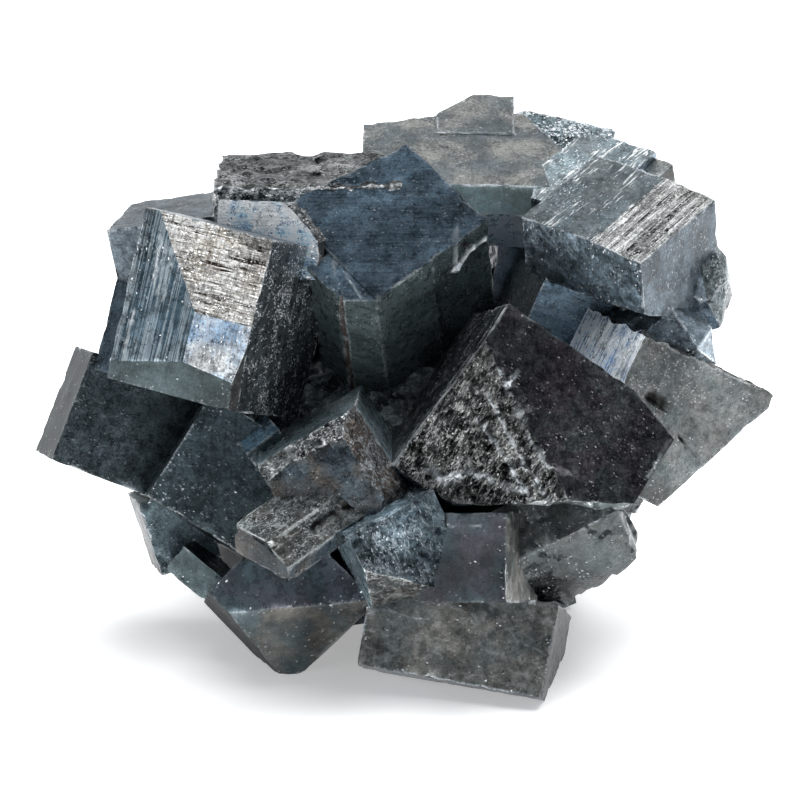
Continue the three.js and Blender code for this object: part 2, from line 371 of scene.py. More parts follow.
CRYSTALS = {
    "left_cube": Crystal(
        (-14.0, -3.8, 6.8), (11, 15, 13.7), (3, 14, -20),
        sides=[
            (STRIPED, "striated", Z, 0.84), ((0.03, -1, -0.035), "bright_patch", Z, 0.82),
            ((0.03, -1, 0.021), "hatched", X, 1.1), ((0, -1, -0.25), "dull_grey", X, 0.65),
            ((1, -0.8, -0.2), "matt_dark", Z, 0.22), (RIGHT, "black_specks", Y, 1.5),
            (LEFT, "striated", Z, 0.6), (TOP, "mottled", X, 0.78), (UNDER, "smooth_dark", X, 1.0),
        ],
        painted_light_spots=[
            ((2, -7.5, 3), 3.5, 1.25, 0.0), ((5, -7.5, 6), 3, 0.6, 0.0),
            ((-3, -7.5, 5), 2.5, 1.5, 0.15), ((-5.5, -7.5, 6), 3, 0.6, 0.0),
            ((3.5, -7.5, -3.5), 1.5, 1.3, 0.15), ((5.5, -1, 1), 2.2, 1.2, 0.3),
            ((5.5, -0.5, -4.4), 1.5, 1.3, 0.3), ((5.5, -4, -1.7), 1.5, 1.2, 0.2),
            ((5.5, -6, -6), 3, 0.6, 0.0),
        ],
        scars=[
            (STRIPED, [(-3.9, -7.5, 6.6), (-3.5, -7.4, 4.3), (-3.4, -7.3, 1.1)], 0.15, 0.08, 0.9),
            (STRIPED, [(-3, -7.4, 4.4), (-2.8, -7.3, 0.7)], 0.12, 0.06, 0.8),
            (STRIPED, [(-4.4, -7.2, -1.3), (-4.6, -7.1, -4.6)], 0.15, 0.06, 0.7),
            (STRIPED, [(-2.2, -7.5, 3.2), (-2.2, -7.4, 0.2)], 0.1, 0.06, 0.8),
        ],
    ),
    "middle_cube": Crystal(
        (-0.8, 3.8, 10.1), (11.3, 18, 12.5), (-36, -39, -5),
        sides=[
            (FRONT, "smooth_blue", LEVEL, 0.57), (UNDER, "shaded_dark", Y, 0.7),
            (LEFT, "smooth_dark", Y, 1.0), (RIGHT, "smooth_dark", Y, 1.0),
            ((0.174, 0, 0.985), "smooth_blue", Y, 0.7),
        ],
        painted_light_spots=[((2, -9, 3), 4, 1.25, 0.0), ((-1, -9, 5), 3, 1.2, 0.0), ((5, -9, -5), 3, 0.7, 0.05)],
        scars=[
            (FRONT, [(3.4, -9, -5.2), (2.5, -9, -6.2)], 0.25, 0.25, 1.0),
            (UNDER, [(2.5, -8.9, -6.2), (2.2, -5.7, -6.2)], 0.25, 0.3, 1.0),
            (UNDER, [(2.2, -5.7, -6.2), (3.7, -6.7, -6.2), (5.3, -6.8, -6.2)], 0.35, 0.35, 1.0),
            (UNDER, [(3.2, -8, -6.2), (3.6, -7.2, -6.2)], 0.6, -0.3, -1.0),
        ],
    ),
    "middle_flank": Crystal(
        (-3.5, 1.9, 6.7), (9.2, 17.9, 10), (-36, -39, -5),
        sides=[
            (UNDER, "shaded_dark", Y, 1.2), ((-0.66, 0, -0.75), "shaded_dark", Y, 1.2),
            ((-0.893, 0, 0.45), "smooth_dark", Y, 1.0), (FRONT, "smooth_blue", LEVEL, 0.75),
        ],
        scars=[
            (FRONT, [(-1.5, -8.9, -1.5), (-1.6, -8.9, -2.6), (-1.9, -8.9, -3.9)], 0.15, 0.06, 0.7),
        ],
    ),
    "middle_step": Crystal(
        (0.4, 2.0, 7.5), (13.5, 17.7, 6), (-36, -39, -5),
        sides=[
            (UNDER, "shaded_dark", Y, 1.0), (FRONT, "smooth_blue", LEVEL, 0.7),
            (LEFT, "shaded_dark", Y, 1.11), ((-1, 0, -1), "rusty", Y, 0.81),
        ],
    ),
    "ridge": Crystal(
        (-7.0, 3.3, 14.8), (15, 9, 8), (20, -2, -3),
        sides=[
            (FRONT, "glitter", X, 2.6), (TOP, "glitter", X, 0.43), (LEFT, "glitter", Y, 1.0),
            (RIGHT, "glitter", Y, 1.0),
        ],
        painted_light_spots=[
            ((5.2, -4.5, 3.8), 2.6, 0.3, -0.3), ((-6.7, -2.5, 4), 2.5, 1.4, 0.3),
            ((-3.4, 1.4, 4), 2.5, 0.6, 0.0), ((1.5, -0.3, 4), 2, 1.3, 0.3),
        ],
    ),
    "bright_tip": Crystal(
        (-9.2, -1.5, 12.8), (9, 6, 6), (3, 2, -26),
        sides=[
            (FRONT, "bright_patch", X, 1.5), (LEFT, "smooth_dark", Y, 1.0),
            (RIGHT, "matt_dark", Y, 0.5), ((0.66, 0, 0.75), "glitter", Y, 0.58),
        ],
    ),
    "top_slab": Crystal(
        (5.1, 8.3, 19.4), (16.4, 11.2, 2.9), (35, 1, -1),
        sides=[
            (TOP, "dusty", X, 0.75), (FRONT, "greenish", X, 3.2), (LEFT, "dusty", Y, 0.9),
            (RIGHT, "dusty", Y, 0.9), ((-0.27, 0.963, 0), "dusty", X, 0.9),
            ((0.866, 0.5, 0), "dusty", Y, 0.9),
        ],
    ),
    "under_slab": Crystal(
        (4.9, 9.3, 17.7), (13, 9, 6), (35, 1, -2),
        sides=[(FRONT, "violet", X, 9.5)],
    ),
    "top_right": Crystal(
        (12.8, 15.8, 18.8), (8, 5, 9), (-5, 11, 11),
        sides=[(FRONT, "spotted", X, 2.7), (TOP, "dusty", X, 0.9), (RIGHT, "smooth_dark", Z, 1.0)],
    ),
    "right_cube": Crystal(
        (18.0, 3.1, 10.3), (10.5, 11.5, 13), (36, -5, 53),
        sides=[
            (TOP, "streaked", X, 1.06), ((0, -0.122, 0.993), "bright_lines", X, 1.1),
            (FRONT, "mottled", Z, 0.45), (LEFT, "mottled", Z, 1.95),
            ((-0.58, 0, -0.81), "smooth_dark", Y, 1.0),
        ],
        painted_light_spots=[
            ((-5.3, 4, 3), 4, 0.4, 0.0), ((-5.3, -4, 2), 3, 1.4, 0.1), ((0, -5.75, 3), 3, 1.2, 0.1),
            ((-1.7, 4.5, 6.5), 3, 1.25, 0.1), ((0.7, 0.3, 6.5), 2.5, 0.85, 0.0),
        ],
    ),
    "shoulder": Crystal(
        (15.1, 5.7, 16.5), (10.6, 7, 5), (36, -5, 53),
        sides=[
            (TOP, "streaked", X, 1.7), (FRONT, "mottled", X, 2.2), (LEFT, "mottled", Y, 0.8),
            ((-0.454, 0.891, 0), "mottled", X, 0.8),
        ],
        painted_light_spots=[((0, 0, 2.5), 3, 1.2, 0.12)],
    ),
    "front_cube": Crystal(
        (9.9, -4.3, -3.8), (16.9, 12, 15), (-13, 32, 17),
        sides=[
            (FRONT, "speckled_dark", X, 0.74), (FRACTURE, "fibrous", Z, 0.61),
            (LEFT, "black_specks", Y, 0.5), (TOP, "smooth_dark", X, 1.0),
            ((0.287, 0, 0.958), "mottled", Y, 0.7), (RIGHT, "fine_grey", Z, 0.6),
            ((0.545, 0, -0.838), "rough_grey", X, 2.1),
        ],
        painted_light_spots=[
            ((3, -6, 3), 4, 1.25, 0.05), ((-7, -6, 3), 4, 0.6, 0.0), ((7.5, -6, 1), 3, 0.6, 0.05),
            ((-6, -6, -3), 3, 1.2, 0.2),
        ],
        scars=[
            (FRONT, [(-6.5, -6, 2.6), (-5, -6, 2.1), (-4.2, -6, 1.5)], 0.2, 0.1, 1.6),
            (FRONT, [(-5.1, -6, 3.3), (-5, -6, 2.1)], 0.18, 0.08, 1.5),
            (FRONT, [(-8.1, -6, 7.2), (-5.2, -6, 7.6), (-2, -6, 8.0)], 0.1, 0.05, 0.5),
            (FRONT, [(8.2, -6, 6), (8.2, -6, 4.3), (8.2, -6, 2.6)], 0.15, 0.06, 0.8),
            (LEFT, [(-8.4, -5.6, 7.2), (-8.4, -5.6, 3.7), (-8.4, -1, -7.2)], 0.3, 0.12, 1.0),
            (LEFT, [(-8.4, -4.4, 7.2), (-8.4, -4.3, 3.6), (-8.4, 0.2, -7)], 0.15, 0.06, 0.6),
            (FRACTURE, [(-6.2, -6, 2.6), (-3.9, -6, 1.1), (-1.3, -6, -0.5)], 0.2, 0.15, 0.9),
            (FRACTURE, [(-1.3, -5.8, -0.4), (1.4, -5.9, -1.6), (4.1, -6, -2.7)], 0.15, 0.12, 0.8),
            (FRACTURE, [(-6.1, -5.3, 0.8), (-3.2, -5.3, -0.8), (-0.6, -5.3, -2.1),
             (2.4, -5.4, -3.4)], 0.2, 0.15, 0.8),
            (FRACTURE, [(-5.3, -4.6, -1.3), (-2.6, -4.8, -2.3), (1.5, -4.9, -4.2)], 0.2, 0.15, 0.8),
            (FRACTURE, [(-6, -2.4, -6.2), (-4.6, -2.7, -6.3), (-3.5, -3.6, -4.7),
             (0.5, -4.7, -4.1)], 0.35, 0.2, 0.9),
        ],
    ),
    "grey_cube": Crystal(
        (19.9, 3.3, -1.4), (14, 10, 12), (3, 25, 31),
        sides=[
            (LEFT, "pale_bands", Z, 2.5), (FRONT, "fine_grey", X, 0.42), (TOP, "glitter", X, 0.35),
            ((0.88, 0, -0.47), "fine_grey", Y, 0.5),
        ],
        painted_light_spots=[((-5, -5, 4), 3.5, 0.55, 0.3), ((3, -5, 2), 4, 1.15, 0.0)],
        scars=[
            (FRONT, [(-3.9, -5, 1.7), (-2.6, -5, 1.5)], 0.65, -0.6, -1.0),
            (FRONT, [(0.2, -5, -0.2), (2.5, -5, -1.1)], 0.25, -0.2, -0.9),
        ],
    ),
    "left_flank": Crystal(
        (-20.2, 1.0, 5.4), (5, 6, 7.6), (3, 14, -20),
        sides=[
            (FRONT, "smooth_blue", Z, 0.38), (LEFT, "smooth_dark", Z, 0.6),
            (TOP, "mottled", X, 0.7), (UNDER, "smooth_dark", X, 1.0),
        ],
    ),
    "far_left": Crystal(
        (-22.2, 5.2, -2.1), (11, 10, 9.2), (-1, 21, 13),
        sides=[
            (LEFT, "matt_dark", Z, 0.95), (FRONT, "teal_dark", X, 0.65),
            (TOP, "smooth_dark", X, 1.0),
        ],
        painted_light_spots=[((4, -5, 2), 4, 0.6, 0.0), ((-2, -5, -1), 3, 1.2, 0.05)],
    ),
    "left_low": Crystal(
        (-13.0, 1.9, -6.8), (12, 10, 9.5), (-5, 32, 8),
        sides=[
            (FRONT, "smooth_dark", X, 0.9), (LEFT, "smooth_dark", Z, 0.82),
            (TOP, "smooth_dark", X, 1.0), (UNDER, "smooth_dark", X, 0.26),
        ],
        painted_light_spots=[((2, -5, 2), 4, 0.8, 0.0), ((-4, -5, -2), 3, 1.2, 0.05)],
    ),
    "stepped": Crystal(
        (-5.1, -4.5, -5.4), (9, 10, 8), (10, -31, -3),
        sides=[
            (FRONT, "stained", X, 0.43), ((0, -0.75, 0.66), "glitter", X, 1.05),
            ((0.75, -0.66, 0), "brown_glitter", Z, 0.7), (RIGHT, "teal_dark", Z, 5.6),
            (LEFT, "smooth_dark", Z, 0.8), (TOP, "smooth_dark", X, 2.8),
        ],
        painted_light_spots=[((-4, -5, 0), 3, 0.8, 0.0), ((1, -5, 0), 2.5, 1.3, 0.0)],
    ),
    "plate": Crystal(
        (-6.9, -9.1, -9.2), (5.8, 11.2, 2.8), (37, -3, -43),
        sides=[
            (TOP, "tan_stone", Y, 1.32), ((0.6, 0, 0.8), "tan_stone", Y, 0.83),
            (FRONT, "stained", X, 0.27), (LEFT, "stained", Y, 0.5), (RIGHT, "stained", Y, 0.5),
        ],
        painted_light_spots=[((-3, -5, 1.4), 2, 1.2, 0.4), ((-2.5, 1, 1.4), 2, 1.1, 0.3)],
        scars=[((0.6, 0, 0.8), [(2, -1.5, 1.4), (2, 0.8, 1.4), (2.4, 3, 1.2)], 0.35, -0.12, -1.0)],
    ),
    "block": Crystal(
        (-0.2, -6.1, -11.6), (7.6, 8, 7.4), (14, -24, 16),
        sides=[
            (FRONT, "blue_glitter", Z, 0.33), (TOP, "blue_glitter", X, 1.1),
            ((-0.5, -0.6, -0.6), "tan_stone", X, 0.49), (LEFT, "smooth_dark", Z, 3.5),
            (RIGHT, "teal_dark", Z, 0.8),
        ],
        painted_light_spots=[((-0.4, -4, 1.9), 1.6, 2.6, 0.5), ((2, -4, -3), 3, 0.8, 0.0)],
    ),
    "tip": Crystal(
        (-10.9, -2.6, -3.4), (3.2, 3.2, 2.2), (38, -28, 24),
        sides=[
            (TOP, "smooth_blue", X, 2.7), (FRONT, "smooth_dark", X, 1.0),
            (LEFT, "smooth_dark", X, 1.0),
        ],
    ),
    "foot_left": Crystal(
        (-8.9, -0.7, -16.1), (9, 9, 9.7), (-4, -44, 6),
        sides=[
            (LEFT, "matt_dark", Z, 0.4), (FRONT, "violet", X, 1.05),
            ((-0.47, -0.64, -0.6), "slate", X, 0.64), (UNDER, "slate", X, 0.9),
            (RIGHT, "violet", X, 0.8),
        ],
    ),
    "small_left": Crystal(
        (-18.4, 6.2, -10.1), (5, 8, 6.2), (8, -18, 10),
        sides=[(FRONT, "smooth_dark", X, 1.46), (LEFT, "mottled", Z, 0.12)],
    ),
    "small_foot": Crystal(
        (-16.0, 1.1, -13.6), (4, 5, 2.4), (12, 37, -12),
        sides=[(FRONT, "dull_grey", X, 0.95)],
    ),
    "foot_right": Crystal(
        (5.2, -0.5, -19.2), (15, 10, 7.5), (-7, 11, -8),
        sides=[(FRONT, "soft_grey", X, 1.07), (RIGHT, "fine_grey", Z, 0.25)],
    ),
    "purple": Crystal(
        (6.3, -6.2, -12.4), (7, 8, 7), (-2, 0, -20),
        sides=[(FRONT, "violet", X, 0.58), (RIGHT, "soft_grey", Z, 0.9), (LEFT, "violet", Z, 0.8)],
        scars=[(FRONT, [(-2.6, -4, 2.4), (1.2, -4, 2.5)], 0.12, 0.05, 0.5)],
    ),
    "back_left_top": Crystal(
        (-17.7, 5.7, 11.7), (9, 8, 8), (17, -11, -12),
        sides=[(FRONT, "mottled", X, 0.52), (TOP, "mottled", X, 0.55)],
    ),
    "gap_cube": Crystal(
        (12.2, 6.4, 6.0), (7, 8, 8), (7, 24, 16),
        sides=[
            (FRONT, "smooth_blue", X, 0.9), (LEFT, "smooth_dark", X, 0.6),
            (TOP, "smooth_dark", X, 1.0),
        ],
    ),
    "top_bump": Crystal(
        (6.2, 12.5, 22.5), (6.4, 6, 2.9), (35, 1, -1),
        sides=[
            (FRONT, "dusty", X, 7.0), (TOP, "dusty", X, 0.75), ((-0.72, 0.69, 0), "dusty", X, 0.9),
        ],
    ),
    "right_bump": Crystal(
        (18.5, 6.0, 16.2), (6.5, 5, 5), (36, -5, 53),
        sides=[(TOP, "dusty", X, 1.0), (FRONT, "dusty", X, 0.3)],
    ),
    "gap_back": Crystal(
        (11.5, 14.3, 8.9), (9, 8, 9), (9, 7, 8),
        sides=[
            (FRONT, "violet", X, 3.6), (LEFT, "brown_glitter", Z, 0.04),
            (RIGHT, "smooth_dark", X, 0.5),
        ],
    ),
    "back_low_left": Crystal(
        (-9, 11, -12), (11, 11, 11), (10, 5, 20),
        sides=[(LEFT, "matt_dark", Z, 0.65)],
    ),
    "back_low_right": Crystal((6, 11, -12), (11, 11, 12), (20, -10, 35)),
    "back_left": Crystal((-11, 15, 3), (11, 12, 11), (25, 15, 30)),
    "back_right": Crystal((13, 14, 1), (11, 11, 12), (-20, 25, 20)),
    "back_middle": Crystal((1, 18, -4), (13, 11, 12), (15, 30, 40)),
    "back_top": Crystal((0, 16, 10), (10, 10, 10), (40, 10, 10)),
}

# What the crystals' other sides have, such as those at the back: the way out and the way of
# the growth lines, and the looks that they take by turns, with how much lighter each is.
OTHER_SIDES = [(LEFT, Y), (RIGHT, Y), (FRONT, Z), (BACK, Z), (UNDER, X), (TOP, X)]
OTHER_LOOKS = [
    ("teal_dark", 0.9), ("smooth_blue", 0.6), ("stained", 0.7), ("faint_lines", 0.7),
    ("smooth_dark", 0.8), ("fine_grey", 0.45), ("violet", 0.9),
]

# The looks of broken blocks: the block's middle in the cluster's own frame, its reach, its
# look and how much lighter than its look it is, which is partly painted light and shade.
BLOCKS = [
    ((10.9, -2, -10.3), 9, "rough_grey", 0.5),
    ((-5.4, 2.8, -0.7), 3, "broken", 2.2),
    ((20.9, 2.9, 4.6), 5.6, "mottled", 1.1),
    ((24.6, 4, 9.5), 4.6, "spotted", 0.55),
]

# The look of the flats that the cluster rests on, which stay flat, and how light it is.
RESTING_LOOK = ("dull_grey", 0.7)


def name_face(face):
    """Gives a face the look of its crystal's side or, on broken mass, of its block."""
    near = [pair for pair in enumerate(CRYSTALS.values()) if pair[1].holds(face)]
    for _, crystal in near:
        for side, *finish in crystal.sides:
            if crystal.has(face, side):
                crystal.dress(face, *finish)
                crystal.mark(face, side)
                return
    for number, crystal in near:
        for turn, (side, lines) in enumerate(OTHER_SIDES, start=number):
            if crystal.has(face, side):
                look, tone = OTHER_LOOKS[turn % len(OTHER_LOOKS)]
                crystal.dress(face, look, lines, tone)
                return
    for middle, reach, look, tone in BLOCKS:
        if np.linalg.norm(LEAN.T @ (face.middle - LAYOUT_ORIGIN) - middle) < reach:
            face.look, face.tone = look, tone
            return


def name_faces(faces):
    for face in faces:
        name_face(face)
        if face.normal[2] < FACING_DOWN and face.middle[2] < FLATNESS:
            face.look, face.tone = RESTING_LOOK


# ---- Noise ----
def scramble(ix, iy, iz, seed):
    """A number from 0 to 1 for each whole-number place, the same every time."""
    mask = np.uint64(0xFFFFFFFF)
    mixed = (ix * 73856093) ^ (iy * 19349663) ^ (iz * 83492791) ^ (seed * 2654435761)
    mixed = mixed.astype(np.uint64) & mask
    mixed = ((mixed ^ (mixed >> np.uint64(15))) * np.uint64(2246822519)) & mask
    mixed = ((mixed ^ (mixed >> np.uint64(13))) * np.uint64(3266489917)) & mask
    return (mixed ^ (mixed >> np.uint64(16))) / 4294967296.0


def noise(points, seed=0):
    """Smooth noise from -1 to 1, with features one unit across."""
    whole = np.floor(points).astype(np.int64)
    part = points - whole
    ease = part * part * (3 - 2 * part)
    total = np.zeros(len(points))
    for corner in np.ndindex(2, 2, 2):
        share = np.prod(np.where(corner, ease, 1 - ease), axis=1)
        total += share * scramble(*(whole + corner).T, seed)
    return 2 * total - 1


def flat_noise(flat, seed):
    """The same for flat points."""
    return noise(np.column_stack([flat, 0 * flat[:, 0]]), seed)


def broken_facets(points, tilt, seed):
    """Heights of small flat facets, each tilted its own way, one unit across."""
    whole = np.floor(points).astype(np.int64)
    nearest = np.full(len(points), np.inf)
    height = np.zeros(len(points))
    for offset in np.ndindex(3, 3, 3):
        cell = whole + np.array(offset) - 1
        spot = np.stack([scramble(*cell.T, seed + k) for k in (11, 12, 13)], axis=1)
        slope = np.stack([scramble(*cell.T, seed + k) for k in (14, 15, 16)], axis=1) * 2 - 1
        lift = scramble(*cell.T, seed + 17) - 0.5
        away = points - cell - spot
        distance = (away**2).sum(axis=1)
        closer = distance < nearest
        nearest[closer] = distance[closer]
        height[closer] = ((away * slope).sum(axis=1) + CHUNK_LIFT * lift)[closer]
    return tilt * height


# ---- Faces of the CAD solid ----
class Face:
    """One flat face: its plane, the directions along and across its growth lines, its look."""

    def __init__(self, number, corners):
        outward = np.cross(corners[:, 1] - corners[:, 0], corners[:, 2] - corners[:, 0])
        sides = np.concatenate([corners[:, 1] - corners[:, 0], corners[:, 2] - corners[:, 1]])
        self.number = number
        self.corners = corners
        self.normal = unit(outward.sum(axis=0))
        self.middle = corners.reshape(-1, 3).mean(axis=0)
        self.look, self.tone = "broken", 1.0
        self.painted_light_spots, self.scars = [], []
        self.lay_lines(sides[np.argmax((sides**2).sum(axis=1))])

    def lay_lines(self, direction):
        self.along = unit(direction - (direction @ self.normal) * self.normal)
        self.across = np.cross(self.normal, self.along)

    def flatten(self, points):
        away = points - self.middle
        return np.stack([away @ self.along, away @ self.across], axis=-1)

    def lift(self, flat):
        return self.middle + flat[:, :1] * self.along + flat[:, 1:] * self.across

    def covers(self, points):
        """Whether each flat point lies in the face."""
        hit = np.zeros(len(points), bool)
        for a, b, c in self.flatten(self.corners):
            inside = [
                (e[0] - s[0]) * (points[:, 1] - s[1]) - (e[1] - s[1]) * (points[:, 0] - s[0])
                for s, e in ((a, b), (b, c), (c, a))
            ]
            hit |= (np.array(inside) >= -1e-9).all(axis=0)
        return hit

    def painted_lightness(self, points):
        """How light the face is at these points, partly painted light and shade, and how many more
        painted glints it has there.
        """
        light = np.full(len(points), self.tone)
        glitter = np.zeros(len(points))
        for place, reach, lighter, glints in self.painted_light_spots:
            near = np.exp(-((np.linalg.norm(points - place, axis=1) / reach) ** 2))
            light *= 1 + (lighter - 1) * near
            glitter += glints * near
        return light, glitter


def read_solid(node):
    """The node's corner points, each once, and its triangles."""
    mesh = node.data
    mesh.calc_loop_triangles()
    raw = np.round(np.array([vertex.co[:] for vertex in mesh.vertices]) / MM, 4)
    corners = np.array([triangle.vertices[:] for triangle in mesh.loop_triangles])
    points, same = np.unique(raw, axis=0, return_inverse=True)
    triangles = same.reshape(-1)[corners]
    kept = (triangles != np.roll(triangles, 1, axis=1)).all(axis=1)
    return points, triangles[kept]


def sides_of(triangle):
    """Each side's two corners, in order, and again with the lower number first."""
    for a, b in zip(triangle, np.roll(triangle, -1)):
        yield (int(a), int(b)), (min(a, b), max(a, b))


def group_faces(points, triangles):
    """The face number of each triangle, as touching triangles in one plane share a face, and
    the triangles beside each side."""
    corners = points[triangles]
    normals = np.cross(corners[:, 1] - corners[:, 0], corners[:, 2] - corners[:, 0])
    areas = np.linalg.norm(normals, axis=1)
    touching = {}
    for t, triangle in enumerate(triangles):
        for _, side in sides_of(triangle):
            touching.setdefault(side, []).append(t)
    group = np.full(len(triangles), -1)
    for start in np.argsort(-areas):
        if group[start] >= 0:
            continue
        normal = normals[start] / max(areas[start], TINY)
        level = corners[start, 0] @ normal
        number = group.max() + 1
        group[start] = number
        reached = [start]
        while reached:
            for _, side in sides_of(triangles[reached.pop()]):
                for other in touching[side]:
                    off = np.abs(corners[other] @ normal - level).max()
                    same_way = normals[other] @ normal > -1e-9
                    if group[other] < 0 and off < FLATNESS and same_way:
                        group[other] = number
                        reached.append(other)
    return group, touching


# ---- Fine mesh ----
def from_path(flat, path, raggedness=0.0):
    """How far each flat point is from a path, or from a ragged line along it."""
    if raggedness:
        strays = [flat_noise(flat * 2.5, seed) for seed in (31, 32)]
        flat = flat + raggedness * np.column_stack(strays)
    gaps = np.full(len(flat), np.inf)
    for start, end in zip(path, path[1:]):
        side = end - start
        share = np.clip(((flat - start) @ side) / max(side @ side, TINY), 0, 1)
        gaps = np.minimum(gaps, np.linalg.norm(flat - start - share[:, None] * side, axis=1))
    return gaps


class FineMesh:
    """Points, their faces, and fine triangles, gathered face by face."""

    def __init__(self, points):
        self.points = [tuple(p) for p in points]
        self.triangles = []
        self.owners = []
        self.cut_edges = {}

    def edge_points(self, a, b):
        """The points between corners a and b, evenly spread, the same for both faces."""
        low, high = min(a, b), max(a, b)
        if (low, high) not in self.cut_edges:
            start, end = np.array(self.points[low]), np.array(self.points[high])
            parts = max(1, math.ceil(np.linalg.norm(end - start) / STEP))
            first = len(self.points)
            self.points.extend(tuple(start + (end - start) * i / parts) for i in range(1, parts))
            self.cut_edges[(low, high)] = list(range(first, len(self.points)))
        inner = self.cut_edges[(low, high)]
        return inner if a < b else inner[::-1]

    def add_face(self, face, outline):
        """Fills a face with triangles. Its outline is a list of corner pairs."""
        rim, links = [], []
        for a, b in outline:
            chain = [a, *self.edge_points(a, b), b]
            rim.extend(chain)
            links.extend(zip(chain, chain[1:]))
        rim = list(dict.fromkeys(rim))
        place = {number: i for i, number in enumerate(rim)}
        rim_flat = face.flatten(np.array([self.points[i] for i in rim]))
        ends = np.array([(place[a], place[b]) for a, b in links])
        inner_flat = inner_points(face, rim_flat, ends)
        flat = [Vector(p) for p in (*rim_flat, *inner_flat)]
        numbers = rim + list(range(len(self.points), len(self.points) + len(inner_flat)))
        self.points.extend(tuple(p) for p in face.lift(inner_flat))
        made = delaunay_2d_cdt(flat, ends.tolist(), [], 1, 1e-7, True)
        where = np.array([numbers[source[0]] for source in made[3]])
        pieces = np.array(made[2])
        centres = np.array([tuple(spot) for spot in made[0]])[pieces].mean(axis=1)
        pieces = pieces[face.covers(centres)]
        self.triangles.extend(where[pieces].tolist())
        self.owners.extend([face.number] * len(pieces))


def inner_points(face, rim, ends):
    """A scattered lattice of points inside the face, clear of its outline."""
    low, high = rim.min(axis=0), rim.max(axis=0)
    rows = [np.zeros((0, 2))]
    for i, row in enumerate(np.arange(low[1], high[1], STEP * math.sqrt(3) / 2)):
        line = np.arange(low[0] + (i % 2) * STEP / 2, high[0], STEP)
        rows.append(np.stack([line, np.full(len(line), row)], axis=1))
    points = np.concatenate(rows)
    points = points + rng.uniform(-JITTER, JITTER, points.shape) * STEP
    for path, width, *_ in face.scars:
        points = points[from_path(points, path) > width + RAGGEDNESS]
    points = np.concatenate([points, *(scar_points(*scar[:2]) for scar in face.scars)])
    points = points[face.covers(points)]
    clear = np.full(len(points), np.inf)
    for start, end in zip(rim[ends[:, 0]], rim[ends[:, 1]]):
        clear = np.minimum(clear, from_path(points, [start, end]))
    return points[clear > 0.5 * STEP]


def scar_points(path, width):
    """Fine rows of points along a scar: its middle, its sides and its borders."""
    rows = []
    for start, end in zip(path, path[1:]):
        along = unit(end - start)
        across = np.array([-along[1], along[0]])
        steps = np.arange(0, np.linalg.norm(end - start), SCAR_STEP)
        for side in (-1, -0.5, 0, 0.5, 1):
            rows.append(start + steps[:, None] * along + side * (width + RAGGEDNESS) * across)
    return np.concatenate(rows)


def cut_finely(node):
    """The solid's faces, and its fine mesh: points, triangles and the face each is part of."""
    points, triangles = read_solid(node)
    group, touching = group_faces(points, triangles)
    faces = [Face(i, points[triangles[group == i]]) for i in range(group.max() + 1)]
    name_faces(faces)
    outlines = [[] for _ in faces]
    for own, triangle in zip(group, triangles):
        for ends, side in sides_of(triangle):
            if any(group[other] != own for other in touching[side]):
                outlines[own].append(ends)
    fine = FineMesh(points)
    for face, outline in zip(faces, outlines):
        fine.add_face(face, outline)
    return faces, *without_folds(*map(np.array, (fine.points, fine.triangles, fine.owners)))


def without_folds(points, triangles, owners):
    """Leaves out triangles that lie back to back on the same points, and unused points."""
    alike = np.unique(np.sort(triangles, axis=1), axis=0, return_inverse=True, return_counts=True)
    single = alike[2][alike[1].reshape(-1)] == 1
    used, numbers = np.unique(triangles[single], return_inverse=True)
    return points[used], numbers.reshape(-1, 3), owners[single]


# ---- Relief ----
def relief(face, points, gaps):
    """How far the face's surface stands in or out at these points."""
    look = LOOKS[face.look]
    flat = face.flatten(points)
    height = look.swell * (noise(points / WAVE_SIZE, 1) + RIPPLES * noise(points / RIPPLE_SIZE, 2))
    if look.ridge:
        height += look.ridge * flat_noise(flat / (RIDGE_LENGTH, look.ridge_width), face.number)
    if look.grain:
        grain = points / GRAIN_SIZE
        height += look.grain * (noise(grain, 3) + noise(grain * 2, 4) / 2)
    if look.chunk:
        height += broken_facets(points / look.chunk, look.tilt * look.chunk, 5)
    else:
        height *= np.clip(gaps / RELIEF_MARGIN, EDGE_RELIEF, 1)
    for path, width, stands, _ in face.scars:
        height += stands * scar_shape(flat, path, width)
    return height


def scar_shape(flat, path, width):
    """1 along the middle of a scar, falling to 0 at its sides, fading in and out."""
    fading = 0.6 + 0.6 * flat_noise(flat * 1.2, 33)
    return np.clip(1 - from_path(flat, path, RAGGEDNESS) / width, 0, 1) * np.clip(fading, 0, 1)


def shape_surface(faces, points, triangles, owners, gaps):
    """Moves each point by the relief of every face it is on."""
    pairs = np.unique(np.column_stack([triangles.reshape(-1), np.repeat(owners, 3)]), axis=0)
    pull = np.zeros((len(points), 3))
    hold = np.zeros((len(points), 3, 3)) + np.eye(3) * SLACK
    for face in faces:
        mine = pairs[pairs[:, 1] == face.number, 0]
        if len(mine):
            height = relief(face, points[mine], gaps[mine])
            pull[mine] += height[:, None] * face.normal
            hold[mine] += np.outer(face.normal, face.normal)
    return points + np.linalg.solve(hold, pull[:, :, None])[:, :, 0]


# ---- Edges ----
def triangle_normals(points, triangles):
    corners = points[triangles]
    normals = np.cross(corners[:, 1] - corners[:, 0], corners[:, 2] - corners[:, 0])
    return normals / np.maximum(np.linalg.norm(normals, axis=1, keepdims=True), TINY)


def shared_edges(triangles):
    """The two ends of each inner edge, lower number first, and the triangles beside it."""
    ends = np.sort(np.stack([triangles, np.roll(triangles, -1, axis=1)], axis=2), axis=2)
    ends = ends.reshape(-1, 2).astype(np.int64)
    key = ends[:, 0] * (triangles.max() + 1) + ends[:, 1]
    order = np.argsort(key, kind="stable")
    first = np.nonzero(key[order][1:] == key[order][:-1])[0]
    return ends[order[first]], np.column_stack([order[first] // 3, order[first + 1] // 3])


